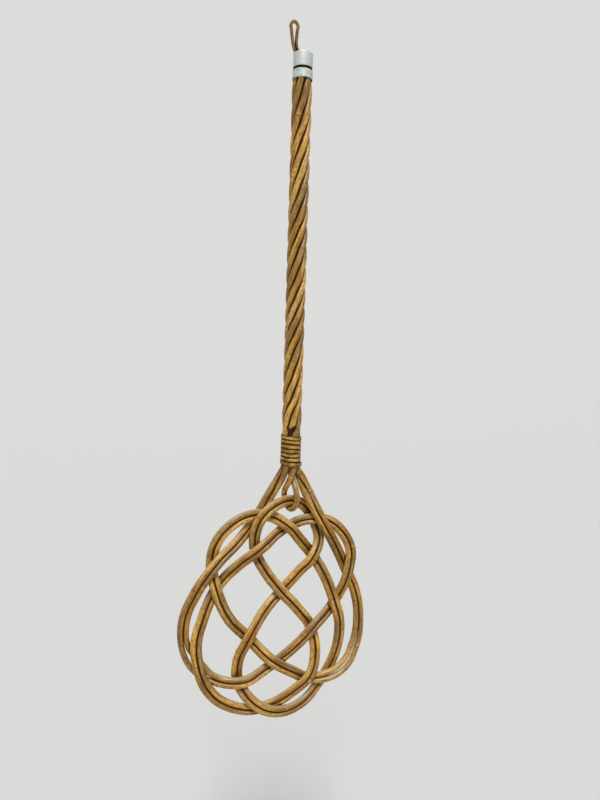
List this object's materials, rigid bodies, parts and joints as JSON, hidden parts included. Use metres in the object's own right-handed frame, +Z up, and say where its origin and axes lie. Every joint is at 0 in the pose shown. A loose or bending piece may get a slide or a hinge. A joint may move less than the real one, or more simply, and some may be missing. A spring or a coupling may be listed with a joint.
{
  "type": "carpet beater",
  "caption": "Cane carpet beater: a flat open head of doubled canes woven into a knot, a twisted cane handle with a neck binding and metal ferrule, and a thin cane hanging loop.",
  "frame": {"origin": "inside top of the hanging loop, where the peg carries the beater", "axes": "+Z up along the handle, +X to the right of the flat head seen from the front, +Y behind the head"},
  "size_m": [0.2484, 0.0279, 0.8543],
  "materials": {
    "cane": "varnished honey-brown rattan, satin",
    "core_cane": "bare dark rattan, matt",
    "split_cane": "varnished yellow-brown split cane, satin",
    "ferrule_metal": "dull light grey, lightly hammered",
    "loop_cane": "thin rattan, satin"
  },
  "bodies": {
    "root": {"knot_cane_outer": "cane", "knot_cane_inner": "cane", "staple_cane": "cane", "splice_cane": "cane", "core_cane": "core_cane", "neck_binding": "split_cane", "ferrule_cap": "ferrule_metal", "ferrule_collar": "ferrule_metal", "hanging_loop": "loop_cane"}
  },
  "joints": []
}
